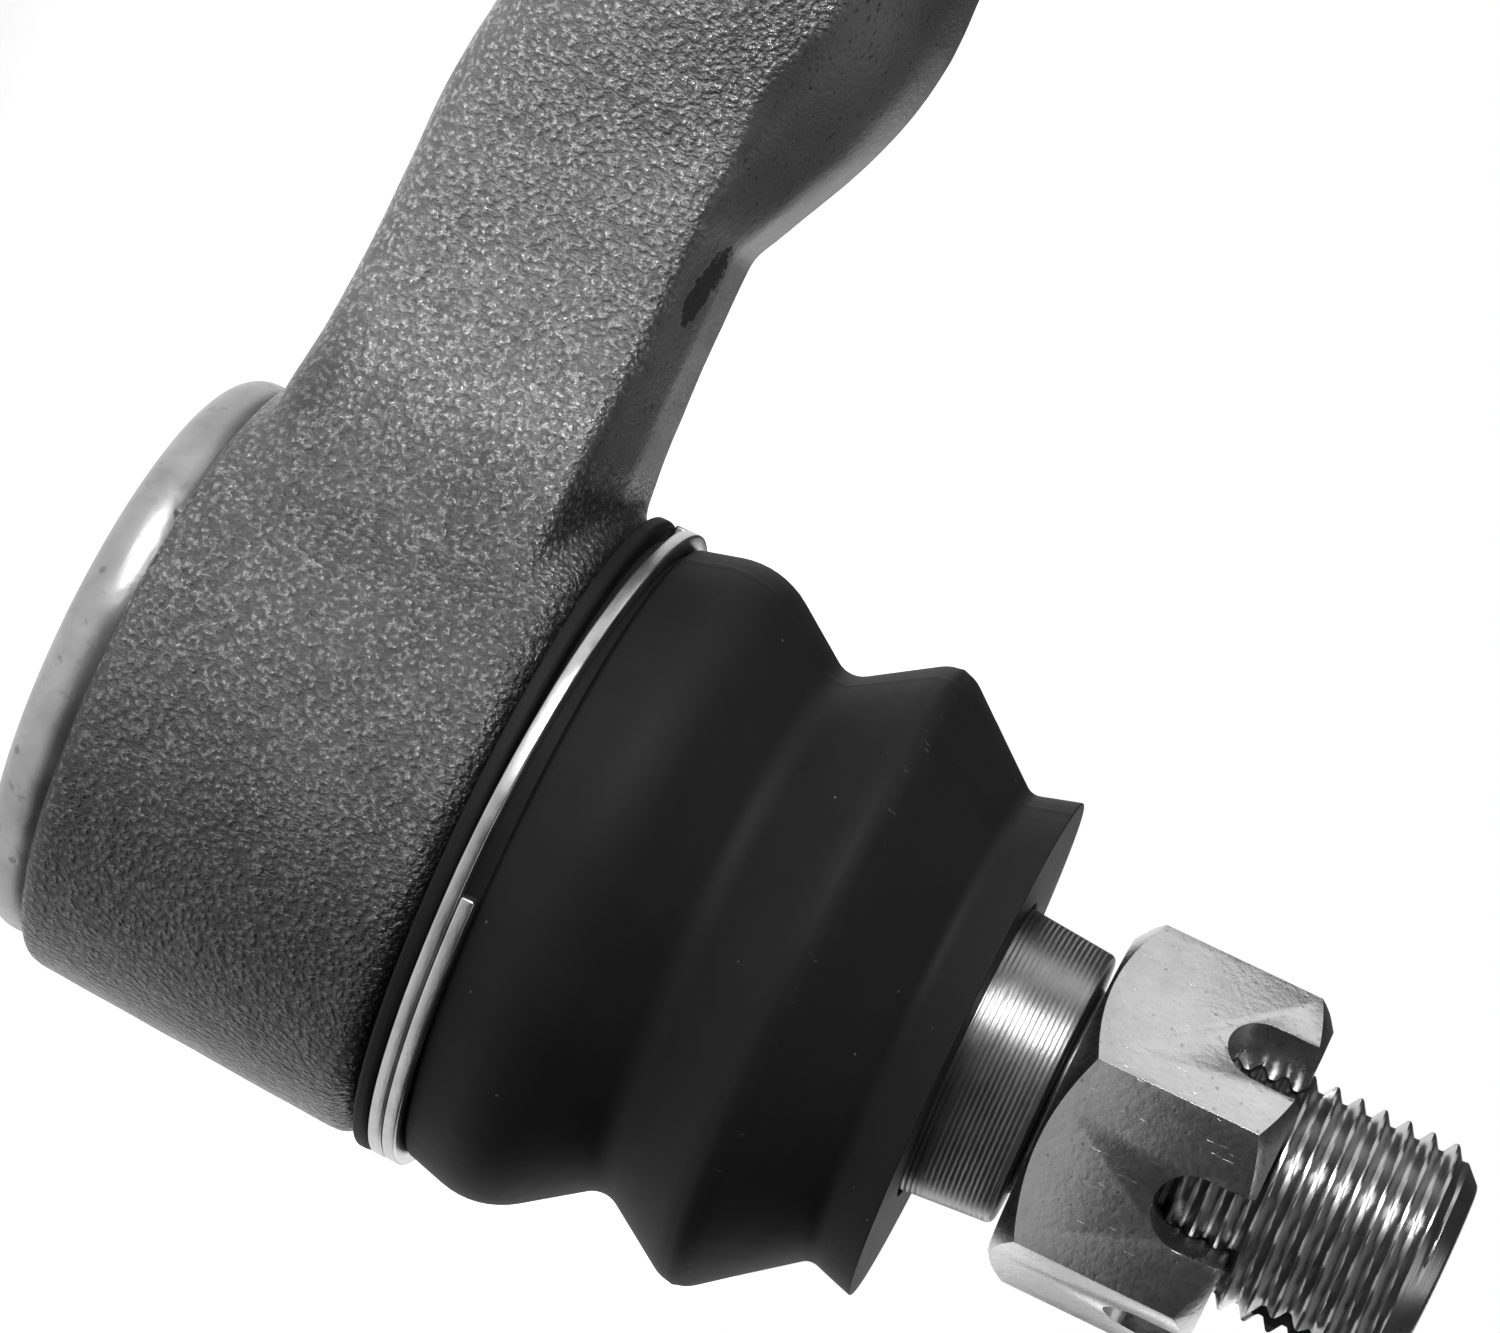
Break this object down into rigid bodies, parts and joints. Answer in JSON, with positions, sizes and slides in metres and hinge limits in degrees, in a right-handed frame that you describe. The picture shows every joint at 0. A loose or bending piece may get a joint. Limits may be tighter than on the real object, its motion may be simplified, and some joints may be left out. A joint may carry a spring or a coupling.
{
  "type": "tie rod end",
  "caption": "Outer tie rod end: forged socket and arm with a threaded boss, ball stud on plastic bearings, bellows boot with wire clip, and a slotted nut.",
  "frame": {"origin": "centre of the ball", "axes": "+Z along the stud to its threaded tip, -X along the arm to the mouth of its threaded boss"},
  "size_m": [0.099, 0.034, 0.0706],
  "materials": {
    "forged_steel": "shot-blasted forging skin, lightly oiled",
    "cover_steel": "pressed sheet steel",
    "spring_steel": "oiled spring steel",
    "acetal": "natural acetal",
    "stud_steel": "turned and rolled steel",
    "nut_steel": "plated steel, scuffed",
    "boot_rubber": "satin moulded rubber",
    "wire_steel": "drawn spring wire"
  },
  "bodies": {
    "housing": {"housing": "forged_steel", "end_cover": "cover_steel", "disc_spring": "spring_steel", "pressure_cup": "acetal", "dust_boot": "boot_rubber", "boot_clip_ring": "wire_steel"},
    "front_bearing": {"ball_seat": "acetal"},
    "boot_lip": {"boot_lip_ring": "spring_steel"},
    "stud": {"ball_stud": "stud_steel"},
    "nut": {"castle_nut": "nut_steel"}
  },
  "joints": [
    {"name": "swing_direction", "type": "hinge", "parent": "housing", "child": "front_bearing", "pos_m": [0, 0, 0], "axis": [0, 0, 1], "continuous": true, "deforming": ["dust_boot"]},
    {"name": "stud_swing", "type": "hinge", "parent": "front_bearing", "child": "boot_lip", "pos_m": [0, 0, 0], "axis": [0, 1, 0], "range_deg": [-22, 22], "deforming": ["dust_boot"]},
    {"name": "stud_spin", "type": "hinge", "parent": "boot_lip", "child": "stud", "pos_m": [0, 0, 0], "axis": [0, 0, 1], "continuous": true},
    {"name": "nut_travel", "type": "slide", "parent": "stud", "child": "nut", "axis": [0, 0, 1], "range_m": [0, 0.0202]}
  ]
}
